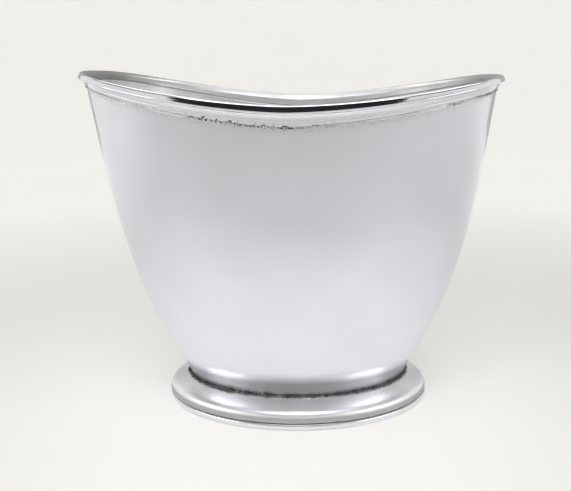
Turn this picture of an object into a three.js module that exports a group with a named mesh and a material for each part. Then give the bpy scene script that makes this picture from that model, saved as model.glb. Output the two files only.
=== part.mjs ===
// Oval champagne bucket in polished silver, soldered up from nine pieces.
// Millimetres, +Z up. The origin is the middle of the footprint, X runs along the oval.
//
// Every piece is built from stations: a station is one closed oval line round the vessel,
// and neighbouring stations are skinned together. The oval is a superellipse.

import * as THREE from 'three';

// ---------- driving dimensions ----------

const SEGMENTS = 72;                   // facets round the oval

const SEAM_HALF_LENGTH = 92.5;         // the wall where it stands on the foot
const SEAM_HALF_DEPTH = 60;
const SEAM_HEIGHT = 20.5;              // height of the foot
const SEAM_ROUNDNESS = 2;              // superellipse power, 2 is a true ellipse

const TOP_HALF_LENGTH = 154.6;         // the wall where it meets the rim moulding
const TOP_HALF_DEPTH = 107.6;
const TOP_ROUNDNESS = 2.8;             // fuller, squarer oval at the rim

const WALL_THICKNESS = 2;
const SOLDER_GAP = 0.3;                // space between neighbouring pieces

const CREST_AT_ENDS = 268.9;           // the rim rises to two horns at the ends
const CREST_AT_SIDES = 248.5;          // and dips in the middle of each long side
const CREST_CURVE = 1.63;              // power of the saddle curve
const CREST_LEAN = 3.6;                // the -X horn stands this much higher, the +X one lower

const MOULDING_AT_SIDES = 14.7;        // height of the rim moulding
const MOULDING_AT_ENDS = 9.6;
const FLARE_AT_SIDES = 4.4;            // how far the moulding flares out
const FLARE_AT_ENDS = 5.4;
const MOULDING_CURVE = 1.12;           // power of the change from sides to ends

const WALL_SLOPE_LOW = 0.745;          // outward run for each unit of rise, above the foot
const WALL_SLOPE_HIGH = 0.127;         // and below the rim
const WALL_EASE = 2.47;                // how quickly the slope eases
const NECK_SHARE = 0.026;              // share of the height taken by the upright neck

const FLOOR_THICKNESS = 2.5;
const FLANGE_WIDTH = 5;                // flange of the foot that carries the wall and the floor
const FOOT_RING_HEIGHT = 5.6;
const FOOT_FLARE = 18;                 // how far the foot ring stands out beyond the seam

// ---------- oval and height formulas ----------

// Distance from the centre of a unit superellipse in the direction of an angle.
function ovalReach(angle, roundness) {
  const across = Math.abs(Math.cos(angle)) ** roundness;
  const along = Math.abs(Math.sin(angle)) ** roundness;
  return (across + along) ** (-1 / roundness);
}

function ovalPoint(angle, halfLength, halfDepth, roundness, height) {
  const reach = ovalReach(angle, roundness);
  const x = halfLength * reach * Math.cos(angle);
  const y = halfDepth * reach * Math.sin(angle);
  return new THREE.Vector3(x, y, height);
}

// How far towards an end of the oval an angle lies: 0 at the sides, -1 and 1 at the ends.
function endShare(angle) {
  return ovalReach(angle, TOP_ROUNDNESS) * Math.cos(angle);
}

function blendToEnds(angle, atSides, atEnds, power) {
  return atSides + (atEnds - atSides) * Math.abs(endShare(angle)) ** power;
}

function crestHeight(angle) {
  const saddle = blendToEnds(angle, CREST_AT_SIDES, CREST_AT_ENDS, CREST_CURVE);
  return saddle - CREST_LEAN * endShare(angle);
}

function mouldingHeight(angle) {
  return blendToEnds(angle, MOULDING_AT_SIDES, MOULDING_AT_ENDS, MOULDING_CURVE);
}

function mouldingFlare(angle) {
  return blendToEnds(angle, FLARE_AT_SIDES, FLARE_AT_ENDS, MOULDING_CURVE);
}

// Height of the line where the rim moulding is soldered to the wall.
function solderHeight(angle) {
  return crestHeight(angle) - mouldingHeight(angle);
}

// Outward run of the wall, 0 at the seam with the foot and 1 at the rim moulding.
// It is the integral of a slope that eases upwards, less the run the neck stays upright for.
function wallRun(rise) {
  const run = (share) => {
    const eased = (1 - (1 - share) ** (WALL_EASE + 1)) / (WALL_EASE + 1);
    const neck = WALL_SLOPE_LOW * NECK_SHARE * (1 - Math.exp(-share / NECK_SHARE));
    return WALL_SLOPE_HIGH * share + (WALL_SLOPE_LOW - WALL_SLOPE_HIGH) * eased - neck;
  };
  return run(rise) / run(1);
}

// ---------- stations ----------

// On the wall: rise is 0 at the seam and 1 at the rim moulding, inset is measured inwards.
function wallStation(rise, inset) {
  const run = wallRun(rise);
  const halfLength = THREE.MathUtils.lerp(SEAM_HALF_LENGTH, TOP_HALF_LENGTH, run) - inset;
  const halfDepth = THREE.MathUtils.lerp(SEAM_HALF_DEPTH, TOP_HALF_DEPTH, run) - inset;
  const roundness = THREE.MathUtils.lerp(SEAM_ROUNDNESS, TOP_ROUNDNESS, rise);
  return (angle) => {
    const height = THREE.MathUtils.lerp(SEAM_HEIGHT, solderHeight(angle), rise);
    return ovalPoint(angle, halfLength, halfDepth, roundness, height);
  };
}

// On the rim: out is in mm from the wall's outer face, flare and up are shares of the
// moulding's flare and height, and lift is in mm.
function rimStation({ out = 0, flare = 0, up = 0, lift = 0 }) {
  return (angle) => {
    const offset = out + flare * mouldingFlare(angle);
    const height = solderHeight(angle) + up * mouldingHeight(angle) + lift;
    return ovalPoint(angle, TOP_HALF_LENGTH + offset, TOP_HALF_DEPTH + offset, TOP_ROUNDNESS, height);
  };
}

// On the foot and the floor: out is in mm from the wall's outer face at the seam.
function footStation(out, height) {
  const halfLength = SEAM_HALF_LENGTH + out;
  const halfDepth = SEAM_HALF_DEPTH + out;
  return (angle) => ovalPoint(angle, halfLength, halfDepth, SEAM_ROUNDNESS, height);
}

// ---------- skinning ----------

function stationPoints(stations) {
  const points = [];
  for (const station of stations) {
    for (let i = 0; i < SEGMENTS; i += 1) {
      points.push(station((2 * Math.PI * i) / SEGMENTS));
    }
  }
  return points;
}

// Two triangles for each facet between station low and station high.
function skin(faces, low, high) {
  for (let i = 0; i < SEGMENTS; i += 1) {
    const next = (i + 1) % SEGMENTS;
    const a = low * SEGMENTS + i;
    const b = low * SEGMENTS + next;
    const c = high * SEGMENTS + next;
    const d = high * SEGMENTS + i;
    faces.push(a, b, c, a, c, d);
  }
}

function solid(points, faces) {
  const geometry = new THREE.BufferGeometry().setFromPoints(points);
  geometry.setIndex(faces);
  geometry.computeVertexNormals();
  return geometry;
}

// A ring: the section runs anticlockwise with out to the right and up to the top.
function ringSolid(section) {
  const faces = [];
  section.forEach((_, k) => skin(faces, k, (k + 1) % section.length));
  return solid(stationPoints(section), faces);
}

// A plate: the stations run from the middle of the underside round to the middle of the top.
function plateSolid(stations, bottomHeight, topHeight) {
  const points = stationPoints(stations);
  const faces = [];
  const last = stations.length - 1;
  for (let k = 0; k < last; k += 1) {
    skin(faces, k, k + 1);
  }
  const bottom = points.push(new THREE.Vector3(0, 0, bottomHeight)) - 1;
  const top = points.push(new THREE.Vector3(0, 0, topHeight)) - 1;
  for (let i = 0; i < SEGMENTS; i += 1) {
    const next = (i + 1) % SEGMENTS;
    faces.push(bottom, next, i);
    faces.push(top, last * SEGMENTS + i, last * SEGMENTS + next);
  }
  return solid(points, faces);
}

// ---------- materials ----------

const polished = { color: 0xd6d6da, metalness: 1, roughness: 0.12 };
const satin = { color: 0xb4b4b8, metalness: 1, roughness: 0.32 };
const solder = { color: 0x77777c, metalness: 1, roughness: 0.5 };

// ---------- pieces ----------

// The raised wall: an open oval tube that stops inside the rim moulding.
function bodyWall() {
  const rises = [0, 0.02, 0.045, 0.08, 0.12, 0.18, 0.26, 0.36, 0.48, 0.62, 0.78, 1];
  const outside = rises.map((rise) => wallStation(rise, 0));
  const inside = rises.map((rise) => wallStation(rise, WALL_THICKNESS)).reverse();
  const edge = [
    rimStation({ up: 0.25 }),
    rimStation({ out: -WALL_THICKNESS, up: 0.25 }),
  ];
  return ringSolid([...outside, ...edge, ...inside]);
}

// The floor drops inside the wall and rests on the flange of the foot.
function floorPlate() {
  const top = SEAM_HEIGHT + FLOOR_THICKNESS;
  const edge = -WALL_THICKNESS - SOLDER_GAP;
  const dish = 1;
  return plateSolid([
    footStation(-SEAM_HALF_DEPTH / 2, SEAM_HEIGHT),
    footStation(edge, SEAM_HEIGHT),
    footStation(edge, top),
    footStation(-SEAM_HALF_DEPTH / 2, top - dish / 2),
  ], SEAM_HEIGHT, top - dish);
}

// Fillet of solder that seals the floor into the wall.
function floorSolder() {
  const low = SEAM_HEIGHT + FLOOR_THICKNESS + SOLDER_GAP;
  const edge = -WALL_THICKNESS - SOLDER_GAP;
  const size = 2.4;
  return ringSolid([
    footStation(edge - size, low),
    footStation(edge, low),
    footStation(edge, low + size),
    footStation(edge - size * 0.35, low + size * 0.4),
  ]);
}

// The cast rim: a cove under a blunt nose, and a trumpet mouth inside.
function rimLip() {
  return ringSolid([
    rimStation({ out: -WALL_THICKNESS, up: 0.25, lift: SOLDER_GAP }),
    rimStation({ flare: 0.25, up: 0.25, lift: SOLDER_GAP }),
    rimStation({ flare: 0.28, up: 0.37 }),
    rimStation({ flare: 0.46, up: 0.52 }),
    rimStation({ flare: 0.74, up: 0.64 }),
    rimStation({ flare: 0.95, up: 0.7 }),
    rimStation({ flare: 1, up: 0.77 }),
    rimStation({ flare: 1, up: 0.88 }),
    rimStation({ flare: 0.93, up: 0.96 }),
    rimStation({ flare: 0.74, up: 1 }),
    rimStation({ flare: 0.42, up: 0.98 }),
    rimStation({ flare: 0.06, up: 0.86 }),
    rimStation({ out: -WALL_THICKNESS * 0.6, up: 0.68 }),
    rimStation({ out: -WALL_THICKNESS, up: 0.45 }),
  ]);
}

// Low band soldered on below the rim: flush with the moulding above, rounded off below.
function rimBead() {
  const proud = 1;
  return ringSolid([
    rimStation({ out: SOLDER_GAP, lift: 0.6 }),
    rimStation({ out: SOLDER_GAP + proud * 0.5, up: 0.02, lift: 0.6 }),
    rimStation({ out: SOLDER_GAP + proud * 0.85, up: 0.08, lift: 0.4 }),
    rimStation({ out: SOLDER_GAP + proud, up: 0.16, lift: 0.1 }),
    rimStation({ out: SOLDER_GAP + proud, up: 0.25 }),
    rimStation({ out: SOLDER_GAP, up: 0.25 }),
  ]);
}

// Line of solder left showing under the band.
function rimSolder() {
  return ringSolid([
    rimStation({ out: SOLDER_GAP, lift: -0.9 }),
    rimStation({ out: SOLDER_GAP + 0.7, lift: -0.1 }),
    rimStation({ out: SOLDER_GAP + 0.6, lift: 0.3 }),
    rimStation({ out: SOLDER_GAP, lift: 0.3 }),
  ]);
}

// The foot: a flange under the wall, a sloping top, a full shoulder and an upright skirt.
function footMoulding() {
  const flangeTop = SEAM_HEIGHT - SOLDER_GAP;
  const skirt = FOOT_RING_HEIGHT + SOLDER_GAP;
  const edge = FOOT_FLARE - 0.6;
  const thickness = 2.4;
  return ringSolid([
    footStation(edge - thickness, skirt),
    footStation(edge - 0.6, skirt),
    footStation(edge, skirt + 0.7),
    footStation(edge, skirt + 2.5),
    footStation(edge - 0.4, skirt + 4.1),
    footStation(edge - 1.3, skirt + 6.1),
    footStation(edge - 2.6, skirt + 7.6),
    footStation(edge - 4.8, skirt + 9),
    footStation(edge - 7.8, skirt + 10.4),
    footStation(edge - 11.2, skirt + 11.9),
    footStation(edge - 14.2, skirt + 13.2),
    footStation(1, flangeTop),
    footStation(-FLANGE_WIDTH, flangeTop),
    footStation(-FLANGE_WIDTH, flangeTop - 2),
    footStation(0.6, flangeTop - 2.6),
    footStation(edge - 8.9, skirt + 8.2),
    footStation(edge - 4.3, skirt + 5.9),
    footStation(edge - 2.7, skirt + 3.4),
  ]);
}

// Rounded wire under the foot: the only piece that touches the table.
function footRing() {
  const top = FOOT_RING_HEIGHT;
  const inner = FOOT_FLARE - 5.4;
  return ringSolid([
    footStation(inner, 0),
    footStation(FOOT_FLARE - 1.6, 0),
    footStation(FOOT_FLARE - 0.5, top * 0.14),
    footStation(FOOT_FLARE, top * 0.38),
    footStation(FOOT_FLARE - 0.1, top * 0.62),
    footStation(FOOT_FLARE - 0.8, top * 0.84),
    footStation(FOOT_FLARE - 1.8, top * 0.94),
    footStation(FOOT_FLARE - 2.3, top),
    footStation(inner, top),
  ]);
}

// Rough solder line where the wall meets the foot.
function footSolder() {
  const low = SEAM_HEIGHT + 0.1;
  return ringSolid([
    footStation(SOLDER_GAP, low),
    footStation(SOLDER_GAP + 1.6, low),
    footStation(SOLDER_GAP + 1, low + 0.6),
    footStation(SOLDER_GAP + 0.5, low + 0.9),
  ]);
}

// ---------- assembly ----------

const bucket = new THREE.Group();

function addPiece(name, geometry, finish) {
  const mesh = new THREE.Mesh(geometry, new THREE.MeshStandardMaterial(finish));
  mesh.name = name;
  bucket.add(mesh);
}

addPiece('body_wall', bodyWall(), polished);
addPiece('floor_plate', floorPlate(), satin);
addPiece('floor_solder', floorSolder(), solder);
addPiece('rim_lip', rimLip(), polished);
addPiece('rim_bead', rimBead(), polished);
addPiece('rim_solder', rimSolder(), solder);
addPiece('foot_moulding', footMoulding(), polished);
addPiece('foot_ring', footRing(), polished);
addPiece('foot_solder', footSolder(), solder);

export default bucket;
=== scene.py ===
import math

import bpy
import numpy as np
from mathutils import Matrix, Vector


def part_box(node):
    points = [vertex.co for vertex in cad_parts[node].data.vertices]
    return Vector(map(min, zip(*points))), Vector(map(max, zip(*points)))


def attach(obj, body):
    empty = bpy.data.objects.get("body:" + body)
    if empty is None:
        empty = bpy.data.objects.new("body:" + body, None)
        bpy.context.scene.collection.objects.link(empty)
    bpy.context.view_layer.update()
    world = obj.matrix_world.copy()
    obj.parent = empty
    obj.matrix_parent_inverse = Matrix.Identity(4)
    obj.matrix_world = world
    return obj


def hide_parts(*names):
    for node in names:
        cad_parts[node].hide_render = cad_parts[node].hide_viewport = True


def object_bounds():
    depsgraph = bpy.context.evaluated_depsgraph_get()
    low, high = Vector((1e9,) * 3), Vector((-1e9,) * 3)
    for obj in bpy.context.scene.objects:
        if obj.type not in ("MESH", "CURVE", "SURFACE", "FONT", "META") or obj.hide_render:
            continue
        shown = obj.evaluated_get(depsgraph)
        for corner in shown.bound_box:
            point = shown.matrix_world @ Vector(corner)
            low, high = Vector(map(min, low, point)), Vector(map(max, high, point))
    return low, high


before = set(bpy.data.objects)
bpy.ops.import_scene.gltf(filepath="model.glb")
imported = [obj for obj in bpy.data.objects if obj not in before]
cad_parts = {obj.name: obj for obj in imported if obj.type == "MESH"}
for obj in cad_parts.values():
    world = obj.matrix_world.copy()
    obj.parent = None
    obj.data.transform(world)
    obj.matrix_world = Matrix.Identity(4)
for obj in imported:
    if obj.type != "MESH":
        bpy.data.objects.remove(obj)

CAD_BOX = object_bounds()
MM = 0.001

# ---------- driving dimensions, in metres ----------

FLOOR_LOW, FLOOR_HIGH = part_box("floor_plate")
WALL_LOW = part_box("body_wall")[0]
LIP_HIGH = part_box("rim_lip")[1]
RING_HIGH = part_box("foot_ring")[1]
FOOT_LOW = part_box("foot_moulding")[0]

GAP = 0.3 * MM                              # space between neighbouring pieces of the foot and floor
HAIR_GAP = 0.04 * MM                        # space between the wall and what is soldered on at the rim
WALL_THICKNESS = 2 * MM
FOOT_FLARE = 18 * MM                        # the foot ring stands out this far beyond the seam
FLARE_AT_SIDES = 4.4 * MM                   # the rim moulding flares out this far
FLARE_AT_ENDS = 5.4 * MM
MOULDING_AT_SIDES = 14.7 * MM               # height of the rim moulding
MOULDING_AT_ENDS = 9.6 * MM
MOULDING_CURVE = 1.12
BAND_SHARE = 0.25                           # the band below takes this share of that height

SEAM_HALF_LENGTH = RING_HIGH.x - FOOT_FLARE
SEAM_HALF_DEPTH = RING_HIGH.y - FOOT_FLARE
SEAM_HEIGHT = WALL_LOW.z
SEAM_ROUNDNESS = 2.0                        # superellipse power, 2 is a true ellipse
TOP_HALF_LENGTH = LIP_HIGH.x - FLARE_AT_ENDS
TOP_HALF_DEPTH = LIP_HIGH.y - FLARE_AT_SIDES
TOP_ROUNDNESS = 2.8

CREST_LEAN = 3.6 * MM                       # the -X horn stands this much higher, the +X one lower
CREST_AT_ENDS = LIP_HIGH.z - CREST_LEAN
CREST_AT_SIDES = CREST_AT_ENDS - 20.4 * MM
CREST_CURVE = 1.63

WALL_SLOPE_LOW = 0.745                      # outward run for each unit of rise, above the foot
WALL_SLOPE_HIGH = 0.127                     # and below the rim
WALL_EASE = 2.47                            # how soon the first slope gives way to the second
NECK_SHARE = 0.026                          # the upright neck dies out over this share of the height

TABLE_RADIUS = 1.6                          # the studio's table top
SWEEP_RADIUS = 1.2                          # the curve from the table up into the wall
BACKDROP_TOP = 2.4


# ---------- camera ----------

def make_camera():
    azimuth, elevation, roll = (math.radians(a) for a in (3.07, 13.94, -0.86))
    distance = 0.591
    # it looks at a point just right of the middle and a little below half the height
    target = Vector((5 * MM, 0, 0.471 * CAD_BOX[1].z))
    back = Vector((math.sin(azimuth) * math.cos(elevation),
                   -math.cos(azimuth) * math.cos(elevation),
                   math.sin(elevation)))
    data = bpy.data.cameras.new("camera")
    data.sensor_width = 36
    data.lens = 44.66
    data.shift_x = -0.0275
    camera = bpy.data.objects.new("camera", data)
    camera.location = target + distance * back
    turn = back.to_track_quat("Z", "Y").to_matrix() @ Matrix.Rotation(roll, 3, "Z")
    camera.rotation_euler = turn.to_euler()
    bpy.context.scene.collection.objects.link(camera)
    bpy.context.scene.camera = camera


make_camera()


# ---------- formulas of the oval, the saddle rim and the wall ----------

def oval_reach(angle, roundness):
    """Distance from the middle to a superellipse of half length and half depth 1."""
    across = np.abs(np.cos(angle)) ** roundness
    along = np.abs(np.sin(angle)) ** roundness
    return (across + along) ** (-1 / roundness)


def oval_points(angle, half_length, half_depth, roundness, height):
    reach = oval_reach(angle, roundness)
    x = half_length * reach * np.cos(angle)
    y = half_depth * reach * np.sin(angle)
    return np.stack([x, y, height + 0 * x], axis=-1)


def end_share(angle):
    """-1 at the -X end of the rim, 0 in the middle of the sides and 1 at the +X end."""
    return oval_reach(angle, TOP_ROUNDNESS) * np.cos(angle)


def blend_to_ends(angle, at_sides, at_ends, power):
    return at_sides + (at_ends - at_sides) * np.abs(end_share(angle)) ** power


def crest_height(angle):
    saddle = blend_to_ends(angle, CREST_AT_SIDES, CREST_AT_ENDS, CREST_CURVE)
    return saddle - CREST_LEAN * end_share(angle)


def moulding_height(angle):
    return blend_to_ends(angle, MOULDING_AT_SIDES, MOULDING_AT_ENDS, MOULDING_CURVE)


def moulding_flare(angle):
    return blend_to_ends(angle, FLARE_AT_SIDES, FLARE_AT_ENDS, MOULDING_CURVE)


def solder_height(angle):
    return crest_height(angle) - moulding_height(angle)


def outward_run(rise):
    eased = (1 - (1 - rise) ** (WALL_EASE + 1)) / (WALL_EASE + 1)
    neck = WALL_SLOPE_LOW * NECK_SHARE * (1 - np.exp(-rise / NECK_SHARE))
    return WALL_SLOPE_HIGH * rise + (WALL_SLOPE_LOW - WALL_SLOPE_HIGH) * eased - neck


def wall_points(angle, rise, inset):
    """An oval of the wall, where rise is 0 at the foot and 1 at the rim's solder line."""
    run = outward_run(rise) / outward_run(1.0)
    half_length = SEAM_HALF_LENGTH + (TOP_HALF_LENGTH - SEAM_HALF_LENGTH) * run - inset
    half_depth = SEAM_HALF_DEPTH + (TOP_HALF_DEPTH - SEAM_HALF_DEPTH) * run - inset
    roundness = SEAM_ROUNDNESS + (TOP_ROUNDNESS - SEAM_ROUNDNESS) * rise
    height = SEAM_HEIGHT + (solder_height(angle) - SEAM_HEIGHT) * rise
    return oval_points(angle, half_length, half_depth, roundness, height)


def rim_points(angle, out, flare, up, lift):
    """An oval of the rim: out and lift in metres, flare and up in shares of the moulding."""
    offset = out + flare * moulding_flare(angle)
    height = solder_height(angle) + up * moulding_height(angle) + lift
    return oval_points(angle, TOP_HALF_LENGTH + offset, TOP_HALF_DEPTH + offset, TOP_ROUNDNESS, height)


def foot_points(angle, out, height):
    return oval_points(angle, SEAM_HALF_LENGTH + out, SEAM_HALF_DEPTH + out, SEAM_ROUNDNESS, height)


# ---------- noise and splines ----------

AXIS_SCATTER = np.array([374761393, 668265263, 2147483647])      # large primes for x, y and z
SEED_SCATTER = 1274126177
LOW_BITS = 0xFFFF
LATTICE_SHIFT = 1000                        # keeps the numbers of the cells above zero


def lattice_value(cell, seed):
    """A repeatable number from 0 to 1 for each corner of a lattice of cells."""
    mixed = (cell * AXIS_SCATTER).sum(axis=-1) + seed * SEED_SCATTER
    mixed = (mixed ^ (mixed >> 13)) * SEED_SCATTER
    mixed = mixed ^ (mixed >> 16)
    return (mixed & LOW_BITS) / LOW_BITS


def noise(points, size, seed):
    """Smooth noise from -1 to 1 whose bumps are about size metres across."""
    scaled = points / size + LATTICE_SHIFT
    cell = np.floor(scaled).astype(np.int64)
    part = scaled - cell
    part = part * part * (3 - 2 * part)
    total = 0
    for corner in np.ndindex(2, 2, 2):
        weight = np.prod(np.where(corner, part, 1 - part), axis=-1)
        total = total + weight * lattice_value(cell + corner, seed)
    return 2 * total - 1


def closed_spline(knots, count):
    """Points at even steps along a smooth closed curve through the knots."""
    knots = np.array(knots, float)
    step = np.linalg.norm(np.roll(knots, -1, axis=0) - knots, axis=1)
    before = np.roll(step, 1)
    size = len(knots)
    matrix = np.zeros((size, size))
    for i in range(size):
        matrix[i, i - 1] = step[i]
        matrix[i, i] = 2 * (before[i] + step[i])
        matrix[i, (i + 1) % size] = before[i]
    slope = (np.roll(knots, -1, axis=0) - knots) / step[:, None]
    right = 3 * (step[:, None] * np.roll(slope, 1, axis=0) + before[:, None] * slope)
    tangent = np.linalg.solve(matrix, right)
    length = np.concatenate([[0], np.cumsum(step)])
    place = np.linspace(0, length[-1], count, endpoint=False)
    index = np.clip(np.searchsorted(length, place, side="right") - 1, 0, size - 1)
    share = ((place - length[index]) / step[index])[:, None]
    following = (index + 1) % size
    start, end = knots[index], knots[following]
    leave = tangent[index] * step[index][:, None]
    arrive = tangent[following] * step[index][:, None]
    return ((2 * share ** 3 - 3 * share ** 2 + 1) * start
            + (share ** 3 - 2 * share ** 2 + share) * leave
            + (3 * share ** 2 - 2 * share ** 3) * end
            + (share ** 3 - share ** 2) * arrive)


# ---------- meshes ----------

def angles(segments):
    """Even steps once round the oval."""
    return np.linspace(0, 2 * math.pi, segments, endpoint=False)


def outward(angle):
    """Level direction away from the oval's middle, close to the wall's normal."""
    x = np.cos(angle) / TOP_HALF_LENGTH
    y = np.sin(angle) / TOP_HALF_DEPTH
    size = np.hypot(x, y)
    return np.stack([x / size, y / size, 0 * x], axis=-1)


def add_mesh(name, points, faces):
    mesh = bpy.data.meshes.new(name)
    mesh.from_pydata(points, [], faces)
    mesh.shade_smooth()
    mesh.update()
    piece = bpy.data.objects.new(name, mesh)
    bpy.context.scene.collection.objects.link(piece)
    return piece


def strip_faces(rows, segments, closed):
    """Quads between neighbouring rows of a grid of points that closes round the oval."""
    low = np.arange(rows if closed else rows - 1)[:, None] * segments
    high = (low + segments) % (rows * segments)
    here = np.arange(segments)[None, :]
    following = (here + 1) % segments
    quads = np.stack([low + here, low + following, high + following, high + here], axis=-1)
    return quads.reshape(-1, 4).tolist()


def ring_piece(name, grid):
    """A ring from a grid of points: section points by angles."""
    rows, segments = grid.shape[:2]
    return add_mesh(name, grid.reshape(-1, 3), strip_faces(rows, segments, True))


def set_attribute(piece, name, values):
    """One value for each point, or for each row of points in a ring."""
    points = len(piece.data.vertices)
    values = np.repeat(values, points // np.size(values))
    layer = piece.data.attributes.new(name, "FLOAT", "POINT")
    layer.data.foreach_set("value", values.astype(np.float32))


def use_second_material(piece, first_face):
    """The faces from first_face on take the piece's second material."""
    for face in piece.data.polygons:
        face.material_index = int(face.index >= first_face)


def finish_piece(piece, node, slot, *materials):
    for material in materials:
        piece.data.materials.append(material)
    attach(piece, "root")
    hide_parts(node)


# ---------- materials ----------

def new_material(name):
    material = bpy.data.materials.new(name)
    material.use_nodes = True
    tree = material.node_tree
    shader = tree.nodes["Principled BSDF"]
    return material, tree, shader


def add_noise(tree, coords, scale, detail=3.0, stretch=(1, 1, 1)):
    mapping = tree.nodes.new("ShaderNodeMapping")
    mapping.inputs["Scale"].default_value = stretch
    tree.links.new(coords, mapping.inputs["Vector"])
    texture = tree.nodes.new("ShaderNodeTexNoise")
    texture.inputs["Scale"].default_value = scale
    texture.inputs["Detail"].default_value = detail
    tree.links.new(mapping.outputs["Vector"], texture.inputs["Vector"])
    return texture.outputs["Fac"]


def add_range(tree, value, low, high, to_low, to_high):
    node = tree.nodes.new("ShaderNodeMapRange")
    node.inputs["From Min"].default_value = low
    node.inputs["From Max"].default_value = high
    node.inputs["To Min"].default_value = to_low
    node.inputs["To Max"].default_value = to_high
    tree.links.new(value, node.inputs["Value"])
    return node.outputs["Result"]


def add_ramp(tree, value, stops):
    node = tree.nodes.new("ShaderNodeValToRGB")
    elements = node.color_ramp.elements
    while len(elements) < len(stops):
        elements.new(0.5)
    for element, (place, colour) in zip(elements, stops):
        element.position = place
        element.color = (*colour, 1)
    tree.links.new(value, node.inputs["Fac"])
    return node.outputs["Color"]


def add_mix(tree, share, first, second):
    node = tree.nodes.new("ShaderNodeMix")
    node.data_type = "RGBA"
    tree.links.new(share, node.inputs["Factor"])
    for socket, colour in ((node.inputs[6], first), (node.inputs[7], second)):
        if isinstance(colour, tuple):
            socket.default_value = (*colour, 1)
        else:
            tree.links.new(colour, socket)
    return node.outputs[2]


def add_maths(tree, operation, first, second):
    node = tree.nodes.new("ShaderNodeMath")
    node.operation = operation
    for socket, value in zip(node.inputs, (first, second)):
        if isinstance(value, (int, float)):
            socket.default_value = value
        else:
            tree.links.new(value, socket)
    return node.outputs["Value"]


def add_bumps(tree, shader, layers):
    """Layers of bump, coarse to fine: (height, distance in metres, strength)."""
    normal = None
    for height, distance, strength in layers:
        node = tree.nodes.new("ShaderNodeBump")
        node.inputs["Distance"].default_value = distance
        node.inputs["Strength"].default_value = strength
        tree.links.new(height, node.inputs["Height"])
        if normal is not None:
            tree.links.new(normal, node.inputs["Normal"])
        normal = node.outputs["Normal"]
    tree.links.new(normal, shader.inputs["Normal"])


def object_coords(tree):
    return tree.nodes.new("ShaderNodeTexCoord").outputs["Object"]


def read_attribute(tree, name):
    node = tree.nodes.new("ShaderNodeAttribute")
    node.attribute_name = name
    return node.outputs["Fac"]


# tarnish for the specks of grime; the two greys below it are painted shade, outside and inside
TARNISH = (0.06, 0.06, 0.06)
PAINTED_SHADE_GREY = (0.33, 0.33, 0.33)
SHADED = (0.24, 0.24, 0.245)


def silver(name, bright, dull, smooth, rough, metal=1.0):
    """Hand-polished silver. A painted shade clouds and darkens it where its shade mask attribute is
    high, and grime speckles it beside the solder.
    """
    material, tree, shader = new_material(name)
    coords = object_coords(tree)
    shader.inputs["Metallic"].default_value = metal

    cloud = add_noise(tree, coords, 22, 4)
    colour = add_ramp(tree, cloud, [(0.35, dull), (0.65, bright)])
    # painted shade: where this mask is high the colour is mixed towards a dark cloudy grey
    painted_shade = read_attribute(tree, "painted_shade")
    painted_shade_colour = add_mix(tree, add_maths(tree, "MULTIPLY", painted_shade, 0.85), colour, PAINTED_SHADE_GREY)
    speck = add_range(tree, add_noise(tree, coords, 900, 2), 0.42, 0.60, 0.0, 1.0)
    stain = add_maths(tree, "MULTIPLY", read_attribute(tree, "grime"), speck)
    tree.links.new(add_mix(tree, stain, painted_shade_colour, TARNISH), shader.inputs["Base Color"])

    smear = add_noise(tree, coords, 60, 5, (1, 1, 0.35))
    polish = add_range(tree, smear, 0.3, 0.7, smooth, rough)
    stain_wear = add_maths(tree, "MULTIPLY", stain, 0.4)
    shade_roughness = add_maths(tree, "MULTIPLY", painted_shade, 0.18)
    wear = add_maths(tree, "ADD", stain_wear, shade_roughness)
    tree.links.new(add_maths(tree, "ADD", polish, wear), shader.inputs["Roughness"])

    orange_peel = add_noise(tree, coords, 160, 2)
    hairline = add_noise(tree, coords, 1500, 2, (1, 1, 0.08))
    add_bumps(tree, shader, [
        (orange_peel, 0.2 * MM, 0.06),
        (hairline, 0.05 * MM, 0.10),
        (stain, -0.3 * MM, 0.6),
    ])
    return material


def satin_silver(name, bright, dull, smooth, rough):
    """The inside: brushed and scoured by ice, and painted darker where the attribute shade is high, a
    painted shade.
    """
    material, tree, shader = new_material(name)
    coords = object_coords(tree)
    shader.inputs["Metallic"].default_value = 1.0

    cloud = add_noise(tree, coords, 35, 5)
    colour = add_ramp(tree, cloud, [(0.3, dull), (0.7, bright)])
    # painted shade: where the attribute shade is high the colour is mixed towards a dark grey
    shaded = add_mix(tree, read_attribute(tree, "shade"), colour, SHADED)
    tree.links.new(shaded, shader.inputs["Base Color"])
    tree.links.new(add_range(tree, cloud, 0.3, 0.7, rough, smooth), shader.inputs["Roughness"])

    grain = add_noise(tree, coords, 700, 4)
    scour = add_noise(tree, coords, 1200, 2, (0.1, 0.1, 1))
    add_bumps(tree, shader, [
        (grain, 0.4 * MM, 0.5),
        (scour, 0.1 * MM, 0.35),
    ])
    return material


def solder_metal(name):
    """Bare solder: dark, porous and dull."""
    material, tree, shader = new_material(name)
    shader.inputs["Metallic"].default_value = 1.0
    pore = add_noise(tree, object_coords(tree), 1100, 4)
    colour = add_ramp(tree, pore, [(0.40, (0.03, 0.03, 0.03)), (0.64, (0.36, 0.36, 0.37))])
    tree.links.new(colour, shader.inputs["Base Color"])
    tree.links.new(add_range(tree, pore, 0.3, 0.7, 0.65, 0.38), shader.inputs["Roughness"])
    add_bumps(tree, shader, [(pore, 0.6 * MM, 0.8)])
    return material


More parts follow.
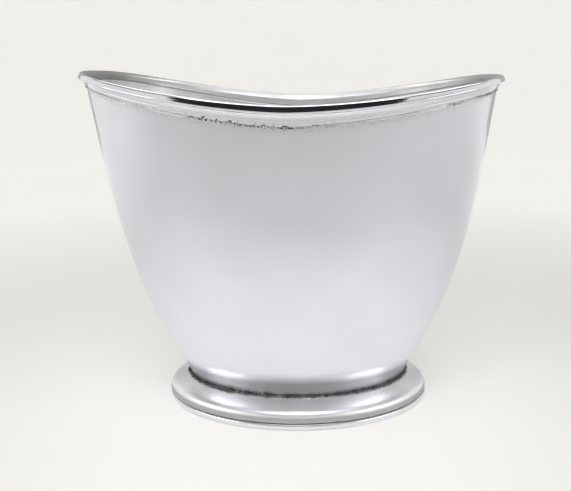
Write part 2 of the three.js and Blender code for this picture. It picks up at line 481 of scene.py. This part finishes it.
POLISHED = silver("polished_silver", bright=(0.835, 0.838, 0.915), dull=(0.805, 0.808, 0.88),
                  smooth=0.12, rough=0.19)
BRIGHT = silver("bright_silver", bright=(0.86, 0.862, 0.92), dull=(0.80, 0.80, 0.855),
                smooth=0.07, rough=0.13)
NOSE = silver("rim_silver", bright=(0.86, 0.862, 0.92), dull=(0.80, 0.80, 0.855),
              smooth=0.045, rough=0.085)
WORN = silver("worn_silver", bright=(0.84, 0.84, 0.885), dull=(0.77, 0.77, 0.81),
              smooth=0.26, rough=0.36, metal=0.8)
SATIN = satin_silver("satin_silver", bright=(0.78, 0.78, 0.80), dull=(0.62, 0.62, 0.63),
                     smooth=0.44, rough=0.56)
SATIN_RIM = satin_silver("satin_rim_silver", bright=(0.77, 0.77, 0.79), dull=(0.60, 0.60, 0.61),
                         smooth=0.29, rough=0.42)
SOLDER = solder_metal("dark_solder")
SEAM = silver("seam_silver", bright=(0.76, 0.76, 0.79), dull=(0.66, 0.66, 0.68),
              smooth=0.20, rough=0.32)


# ---------- pieces ----------

def body_wall():
    """The raised wall: polished outside, satin inside, with the slight waves of hand work."""
    segments, outer_rows, inner_rows = 384, 130, 70
    crowding = 1.25                         # crowds the rows towards the foot
    angle = angles(segments)
    outer_rise = np.linspace(0, 1, outer_rows) ** crowding
    inner_rise = np.linspace(1, 0, inner_rows) ** crowding
    # the upper edge goes on behind the band, up to the rim moulding
    rows = [wall_points(angle, rise, 0) for rise in outer_rise]
    rows += [rim_points(angle, 0, 0, up, 0) for up in (0.13, BAND_SHARE)]
    rows += [rim_points(angle, -WALL_THICKNESS, 0, up, 0) for up in (BAND_SHARE, 0.13)]
    rows += [wall_points(angle, rise, WALL_THICKNESS) for rise in inner_rise]
    grid = np.array(rows)
    # the waves die out at both ends of the wall, over this share of its height
    fade_share = 0.05
    fade = np.zeros(len(rows))
    fade[:outer_rows] = np.clip(np.minimum(outer_rise, 1 - outer_rise) / fade_share, 0, 1)
    wave = 0.07 * MM * noise(grid, 34 * MM, 1) + 0.025 * MM * noise(grid, 13 * MM, 2)
    grid += (wave * fade[:, None])[..., None] * outward(angle)
    piece = ring_piece("wall", grid)
    use_second_material(piece, (outer_rows + 1) * segments)

    grimy_height, painted_shade_height = 5 * MM, 18 * MM
    above_seam = grid[..., 2] - SEAM_HEIGHT
    below_rim = solder_height(angle) - grid[..., 2]
    grime_at_foot = np.clip(1 - above_seam / grimy_height, 0, 1) ** 1.5
    grime_at_rim = np.clip(1 - below_rim / grimy_height, 0, 1) ** 2 * 0.6
    set_attribute(piece, "grime", np.maximum(grime_at_foot, grime_at_rim))
    # painted shade: the neck just above the foot is painted cloudy and dark, standing for the darker
    # reflection there
    set_attribute(piece, "painted_shade", np.clip(3 * (1 - above_seam / painted_shade_height), 0, 1))
    finish_piece(piece, "body_wall", "body", POLISHED, SATIN)


def rim_lip():
    """The cast rim: a cove under a blunt nose, bright outside, and a satin trumpet mouth inside."""
    segments, rows = 512, 96
    angle = angles(segments)
    # the section's knots: out in shares of the flare, up in shares of the moulding's height
    cove = [(0.15, BAND_SHARE), (0.25, 0.252), (0.275, 0.27), (0.34, 0.36), (0.53, 0.49), (0.78, 0.58)]
    nose = [(0.95, 0.625), (1.0, 0.665), (0.955, 0.73), (0.90, 0.795), (0.845, 0.86), (0.79, 0.92)]
    crest = [(0.715, 0.968), (0.57, 1.0)]
    mouth = [(0.34, 0.97), (0.08, 0.87)]
    # the spline runs through them with both measures in shares of the height at the sides
    flare_share = FLARE_AT_SIDES / MOULDING_AT_SIDES
    inner = -WALL_THICKNESS / MOULDING_AT_SIDES
    knots = [(inner, BAND_SHARE)]
    knots += [(out * flare_share, up) for out, up in cove + nose + crest + mouth]
    knots += [(inner * 0.6, 0.69), (inner, 0.45)]
    section = closed_spline(knots, rows)
    flares = np.maximum(section[:, 0], 0) / flare_share
    insets = np.minimum(section[:, 0], 0) * MOULDING_AT_SIDES
    heights = section[:, 1]
    grid = np.array([rim_points(angle, inset, flare, up, 0)
                     for inset, flare, up in zip(insets, flares, heights)])
    wave = 0.08 * MM * noise(grid, 28 * MM, 3) + 0.015 * MM * noise(grid, 9 * MM, 4)
    grid += wave[..., None] * (outward(angle) * 0.8 + np.array([0, 0, 0.6]))
    piece = ring_piece("rim_lip_moulding", grid)
    use_second_material(piece, int(np.argmax(heights)) * segments)

    set_attribute(piece, "grime", np.clip(0.3 - heights, 0, 1))
    # painted shade: the inside of the mouth is painted darker towards the ends than at the sides, the
    # -X end most
    along = end_share(angle)
    shade = np.clip(2 * np.abs(along) - 1.0, 0, 1) * (0.6 - 0.2 * along)
    set_attribute(piece, "shade", np.tile(shade, rows))
    finish_piece(piece, "rim_lip", "rim", NOSE, SATIN_RIM)


def pit_clusters(grid):
    """0 where the soldering under the rim came out clean and 1 where it is pitted."""
    return np.clip(noise(grid, 24 * MM, 5) * 2.2 + 0.35, 0, 1)


def rim_bead():
    """Low band under the rim, flush with it above, and pitted by the soldering below."""
    segments, section_rows = 2400, 30
    angle = angles(segments)
    thickness = 1.1 * MM
    solder_room = 0.6 * MM                  # the line of solder shows below the band
    # the section's knots: out in shares of the thickness, up in shares of the band's height
    section = closed_spline([
        (0, 0), (0.32, 0.04), (0.64, 0.33), (0.87, 0.68), (0.985, 0.95), (1.0, 1.0),
        (0.9, 1.02), (0.5, 1.03), (0, 1.03)], section_rows)
    rows = []
    for out, up in section:
        stand_off = HAIR_GAP + thickness * np.clip(out, 0, 1)
        lift = solder_room * (1 - np.clip(up, 0, 1))
        rows.append(rim_points(angle, stand_off, 0, BAND_SHARE * np.clip(up, 0, 1.04), lift))
    grid = np.array(rows)
    pit = np.clip(noise(grid, 1.5 * MM, 6) * 2.4 - 0.5, 0, 1) * pit_clusters(grid)
    lower_edge = np.clip(1.15 - section[:, 1] * 1.5, 0, 1)[:, None]
    pit_depth = pit * lower_edge
    grid -= (0.5 * MM * pit_depth)[..., None] * outward(angle)
    grid += (0.04 * MM * noise(grid, 5 * MM, 12))[..., None] * outward(angle)
    piece = ring_piece("rim_bead_band", grid)
    set_attribute(piece, "grime", np.clip(pit_depth * 3, 0, 1))
    finish_piece(piece, "rim_bead", "bead", BRIGHT)


def solder_line(name, node, rows, reach, seed, material, clustered=False):
    """A rough fillet: its outer edge is eaten into teeth of up to reach metres."""
    grid = np.array(rows)
    segments = grid.shape[1]
    tooth = noise(grid, 1.3 * MM, seed) + 0.6 * noise(grid, 3.1 * MM, seed + 1)
    # the teeth are longest in the middle of the section and none at its start and end
    share = np.linspace(0, 1, len(rows))
    amount = (share * (1 - share) * 4)[:, None]
    pitted = pit_clusters(grid) if clustered else np.ones(grid.shape[:2])
    shift = np.clip(tooth * reach * amount * 2, -reach, reach) * (0.3 + 0.7 * pitted)
    grid += shift[..., None] * outward(angles(segments))
    piece = ring_piece(name, grid)
    set_attribute(piece, "grime", pitted)
    finish_piece(piece, node, "solder", material)


def rim_solder():
    """The thin line of solder under the band. Its section is in mm: out, and up from the line."""
    segments = 2400
    angle = angles(segments)
    section = closed_spline([(0, -0.9), (0.42, -0.55), (0.7, -0.1), (0.6, 0.3), (0, 0.3)], 14)
    rows = [rim_points(angle, HAIR_GAP + max(out, 0) * MM, 0, 0, lift * MM) for out, lift in section]
    solder_line("rim_solder_line", "rim_solder", rows, 0.25 * MM, 7, SEAM, clustered=True)


def foot_solder():
    """The dark fillet between the wall and the foot. Its section is in mm: out, and up."""
    segments = 2000
    angle = angles(segments)
    section = closed_spline([(0, 0), (0.9, -0.02), (1.7, 0), (1.2, 0.6), (0.6, 1.1), (0.15, 0.8)], 16)
    low = SEAM_HEIGHT + 0.1 * MM
    rows = [foot_points(angle, GAP + max(out, 0) * MM, low + max(up, 0) * MM) for out, up in section]
    solder_line("foot_solder_line", "foot_solder", rows, 0.95 * MM, 9, SOLDER)


def floor_solder():
    """The fillet inside, between the wall and the floor. Its section is in mm: out, and up."""
    segments = 720
    angle = angles(segments)
    low = FLOOR_HIGH.z + GAP
    section = closed_spline([(-2.4, 0), (-1.2, 0), (0, 0), (0, 1.2), (0, 2.4), (-0.84, 0.96)], 20)
    edge = -WALL_THICKNESS - GAP
    rows = [foot_points(angle, edge + min(out, 0) * MM, low + max(up, 0) * MM) for out, up in section]
    solder_line("floor_solder_line", "floor_solder", rows, 0.15 * MM, 11, SOLDER)


def foot_moulding():
    """The foot: a sloping top with a full shoulder, an upright skirt and a flange inside."""
    segments = 512
    angle = angles(segments)
    # the section's knots are in mm: out from the seam, and up from the table
    edge = FOOT_FLARE / MM - 0.6
    top = (SEAM_HEIGHT - GAP) / MM
    skirt = FOOT_LOW.z / MM
    section = closed_spline([
        (edge - 2.4, skirt), (edge - 1.5, skirt), (edge - 0.6, skirt), (edge - 0.1, skirt + 0.4),
        (edge, skirt + 1.2), (edge, skirt + 2.5), (edge - 0.4, skirt + 4.1), (edge - 1.3, skirt + 6.1),
        (edge - 2.6, skirt + 7.6), (edge - 4.8, skirt + 9), (edge - 7.8, skirt + 10.4),
        (edge - 11.2, skirt + 11.9), (edge - 14.2, skirt + 13.2), (1, top), (-2, top), (-5, top),
        (-5.2, top - 1), (-5, top - 2), (0.6, top - 2.6), (edge - 8.9, skirt + 8.2),
        (edge - 4.3, skirt + 5.9), (edge - 2.7, skirt + 3.4)], 140)
    section[:, 1] = np.clip(section[:, 1], skirt, top)
    grid = np.array([foot_points(angle, out * MM, up * MM) for out, up in section])
    wave = 0.09 * MM * noise(grid, 24 * MM, 13) + 0.03 * MM * noise(grid, 8 * MM, 14)
    grid += wave[..., None] * np.array([0, 0, 1])
    grid[..., 2] = np.minimum(grid[..., 2], SEAM_HEIGHT - GAP)
    piece = ring_piece("foot_moulding_slope", grid)

    near_seam = np.clip(1 - np.abs(section[:, 0] - 1.5) / 1.8, 0, 1)
    set_attribute(piece, "grime", 0.7 * near_seam)
    # painted shade: the upright skirt is painted cloudy and dark, a painted reflection of the shadow
    # on the table beside the foot
    above_skirt = section[:, 1] - skirt
    skirt_shade = np.clip((5.4 - above_skirt) / 1.5, 0, 1) * np.clip((above_skirt - 0.4) / 0.5, 0, 1)
    set_attribute(piece, "painted_shade", 0.95 * skirt_shade)
    finish_piece(piece, "foot_moulding", "foot", WORN)


def foot_ring():
    """Rounded wire that the bucket stands on."""
    segments = 512
    angle = angles(segments)
    # the section's knots are in mm: out from the seam, and up from the table
    outer, top = FOOT_FLARE / MM, RING_HIGH.z / MM
    inner = outer - 5.4
    section = closed_spline([
        (inner, 0), (inner + 1.9, 0), (outer - 1.6, 0), (outer - 0.5, top * 0.14),
        (outer, top * 0.38), (outer - 0.1, top * 0.62), (outer - 0.8, top * 0.84),
        (outer - 1.8, top * 0.94), (outer - 2.3, top), (inner + 1.5, top), (inner, top),
        (inner - 0.1, top * 0.5)], 84)
    section[:, 0] = np.minimum(section[:, 0], outer)
    section[:, 1] = np.clip(section[:, 1], 0, top)
    grid = np.array([foot_points(angle, out * MM, up * MM) for out, up in section])
    # the foot ring stands flat, so the waves grow from none at the table
    rise = section[:, 1] / top
    wave = 0.06 * MM * noise(grid, 26 * MM, 15) * rise[:, None]
    grid -= np.abs(wave)[..., None] * outward(angle)
    piece = ring_piece("foot_ring_wire", grid)
    set_attribute(piece, "grime", np.clip((rise - 0.88) * 4, 0, 0.6))
    # painted shade: the top of the wire, in the crease under the foot's skirt, is painted cloudy and
    # dark
    set_attribute(piece, "painted_shade", np.clip(rise * 4 - 2.6, 0, 1))
    finish_piece(piece, "foot_ring", "foot", BRIGHT)


def floor_plate():
    """The floor: slightly dished, satin, resting on the flange of the foot."""
    segments = 256
    angle = angles(segments)
    half_length = SEAM_HALF_LENGTH - WALL_THICKNESS - GAP
    half_depth = SEAM_HALF_DEPTH - WALL_THICKNESS - GAP
    bottom, top, dish = FLOOR_LOW.z, FLOOR_HIGH.z, 1 * MM

    def level_oval(share, height):
        return oval_points(angle, half_length * share, half_depth * share, SEAM_ROUNDNESS, height)

    # out along the underside, back in along the top
    shares = np.linspace(0.02, 1, 40)
    rows = [level_oval(share, bottom) for share in shares]
    rows += [level_oval(share, top - dish * (1 - share ** 2)) for share in shares[::-1]]
    points = np.array(rows).reshape(-1, 3).tolist()
    faces = strip_faces(len(rows), segments, False)
    # a fan of triangles closes the middle of each
    below_middle, above_middle = len(points), len(points) + 1
    points += [[0, 0, bottom], [0, 0, top - dish]]
    last_row = (len(rows) - 1) * segments
    for i in range(segments):
        following = (i + 1) % segments
        faces.append([below_middle, following, i])
        faces.append([above_middle, last_row + i, last_row + following])
    piece = add_mesh("floor_dish", points, faces)
    finish_piece(piece, "floor_plate", "inside", SATIN)


body_wall()
rim_lip()
rim_bead()
rim_solder()
foot_moulding()
foot_ring()
foot_solder()
floor_plate()
floor_solder()


# ---------- studio ----------

def stage_material(name, colour, glow=0.0):
    material, tree, shader = new_material(name)
    shader.inputs["Base Color"].default_value = (*colour, 1)
    shader.inputs["Roughness"].default_value = 0.9
    shader.inputs["Emission Color"].default_value = (*colour, 1)
    shader.inputs["Emission Strength"].default_value = glow
    return material, tree, shader


def floor_material():
    """Matt paper. Behind the bucket it glows a little, as a lit backdrop does."""
    material, tree, shader = stage_material("pale_floor", (0.80, 0.793, 0.772))
    distance = tree.nodes.new("ShaderNodeVectorMath")
    distance.operation = "DISTANCE"
    distance.inputs[1].default_value = (0, -0.9, 0)
    tree.links.new(object_coords(tree), distance.inputs[0])
    glow = add_range(tree, distance.outputs["Value"], 0.8, 1.8, 0.0, 0.45)
    tree.links.new(glow, shader.inputs["Emission Strength"])
    return material


def towards(azimuth, elevation, distance):
    """A place seen from the bucket: azimuth 0 is the camera's side, 90 is +X, 180 is behind."""
    turn, tilt = math.radians(azimuth), math.radians(elevation)
    level = math.cos(tilt)
    return Vector((math.sin(turn) * level, -math.cos(turn) * level, math.sin(tilt))) * distance


def make_floor():
    """A round table top that sweeps up into a pale wall all round."""
    segments = 96
    profile = [(0.3, 0), (TABLE_RADIUS, 0)]
    for turn in np.linspace(0, math.pi / 2, 20)[1:]:
        radius = TABLE_RADIUS + SWEEP_RADIUS * math.sin(turn)
        profile.append((radius, SWEEP_RADIUS * (1 - math.cos(turn))))
    profile.append((TABLE_RADIUS + SWEEP_RADIUS, BACKDROP_TOP))
    points = [[0, 0, 0]]
    for radius, height in profile:
        points += [[radius * math.cos(a), radius * math.sin(a), height] for a in angles(segments)]
    faces = [[0, 1 + i, 1 + (i + 1) % segments] for i in range(segments)]
    for ring in range(len(profile) - 1):
        low = 1 + ring * segments
        high = low + segments
        for i in range(segments):
            following = (i + 1) % segments
            faces.append([low + i, high + i, high + following, low + following])
    floor = add_mesh("pale_floor", points, faces)
    floor.data.materials.append(floor_material())


def add_card(name, points, faces, colour, glow=0.0):
    """A card that only shows in reflections."""
    card = add_mesh(name, points, faces)
    card.data.materials.append(stage_material(name, colour, glow)[0])
    card.visible_camera = False
    card.visible_shadow = False
    card.visible_diffuse = False


def add_curved_card(name, azimuths, heights, grey, glow=0.0, taper=0.001):
    """Bends round the bucket from azimuth to azimuth, just inside the table top's edge.
    Each half tapers to a point over its outer share, taper."""
    columns = 49
    radius = TABLE_RADIUS - 0.1
    low, high = heights
    middle, half_height = (low + high) / 2, (high - low) / 2
    turns = np.radians(np.linspace(*azimuths, columns) - 90)
    from_end = 1 - np.abs(np.linspace(-1, 1, columns))
    half_heights = half_height * np.clip(from_end / taper, 0.02, 1)
    points = []
    for side in (-1, 1):
        for turn, reach in zip(turns, half_heights):
            points.append([radius * math.cos(turn), radius * math.sin(turn), middle + side * reach])
    faces = [[i, i + 1, columns + i + 1, columns + i] for i in range(columns - 1)]
    add_card(name, points, faces, (grey, grey, grey), glow)


def add_panel(name, azimuth, elevation, size, radiance):
    """A bright flat panel that faces the bucket. Radiance 1 is paper white."""
    distance = 1.15
    place = towards(azimuth, elevation, distance)
    turn = place.to_track_quat("Z", "Y")
    half_width, half_height = size[0] / 2, size[1] / 2
    corners = [(-half_width, -half_height), (half_width, -half_height),
               (half_width, half_height), (-half_width, half_height)]
    points = [list(place + turn @ Vector((x, y, 0))) for x, y in corners]
    add_card(name, points, [[0, 1, 2, 3]], (1, 1, 1), radiance)


def add_ceiling(radiance):
    """A wide soft light overhead. An area light of radiance 1 gives pi watts a square metre."""
    width, depth = 2.4, 2.0
    data = bpy.data.lights.new("ceiling_softbox", "AREA")
    data.shape = "RECTANGLE"
    data.size, data.size_y = width, depth
    data.energy = math.pi * width * depth * radiance
    light = bpy.data.objects.new("ceiling_softbox", data)
    light.location = (0, 0.2, 2.0)
    bpy.context.scene.collection.objects.link(light)


def add_pool(name, place, aim, power, cone):
    """A soft spot that lights the table and isn't seen in the silver."""
    data = bpy.data.lights.new(name, "SPOT")
    data.energy = power
    data.spot_size = math.radians(cone)
    data.spot_blend = 1.0
    data.shadow_soft_size = 0.22
    light = bpy.data.objects.new(name, data)
    light.location = place
    light.rotation_euler = (Vector(place) - Vector(aim)).to_track_quat("Z", "Y").to_euler()
    light.visible_glossy = False
    bpy.context.scene.collection.objects.link(light)


def make_light():
    world = bpy.data.worlds.new("studio")
    world.use_nodes = True
    background = world.node_tree.nodes["Background"]
    background.inputs["Color"].default_value = (1, 1, 1, 1)
    background.inputs["Strength"].default_value = 0.22
    bpy.context.scene.world = world
    add_ceiling(0.62)
    add_pool("wide_pool", (0, -1.0, 1.3), (0, -0.5, 0), 10, 95)
    add_pool("left_pool", (-0.35, -0.62, 0.8), (-0.12, -0.08, 0), 28, 26)
    add_pool("right_pool", (0.35, -0.62, 0.8), (0.12, -0.08, 0), 28, 26)
    add_pool("left_side_pool", (-1.0, -0.3, 1.0), (-0.75, -0.15, 0), 10, 85)
    add_pool("right_side_pool", (0.8, -0.6, 1.0), (0.5, -0.45, 0), 7, 75)
    add_panel("front_panel", 0, 62, (0.7, 0.5), 1.5)
    add_panel("left_window", -60, 23, (0.75, 0.30), 2.4)
    add_panel("right_window", 60, 23, (0.75, 0.30), 2.4)
    add_panel("left_panel", -142, 62, (0.45, 0.45), 1.7)
    add_panel("right_panel", 142, 62, (0.45, 0.45), 1.7)
    add_curved_card("dark_card", (-34, 31), (0.75, 1.6), 0.01, taper=0.4)
    add_curved_card("grey_card", (132, 228), (0.01, 1.0), 0.42, glow=0.35)


make_floor()
make_light()
bpy.context.scene.view_settings.view_transform = "Standard"
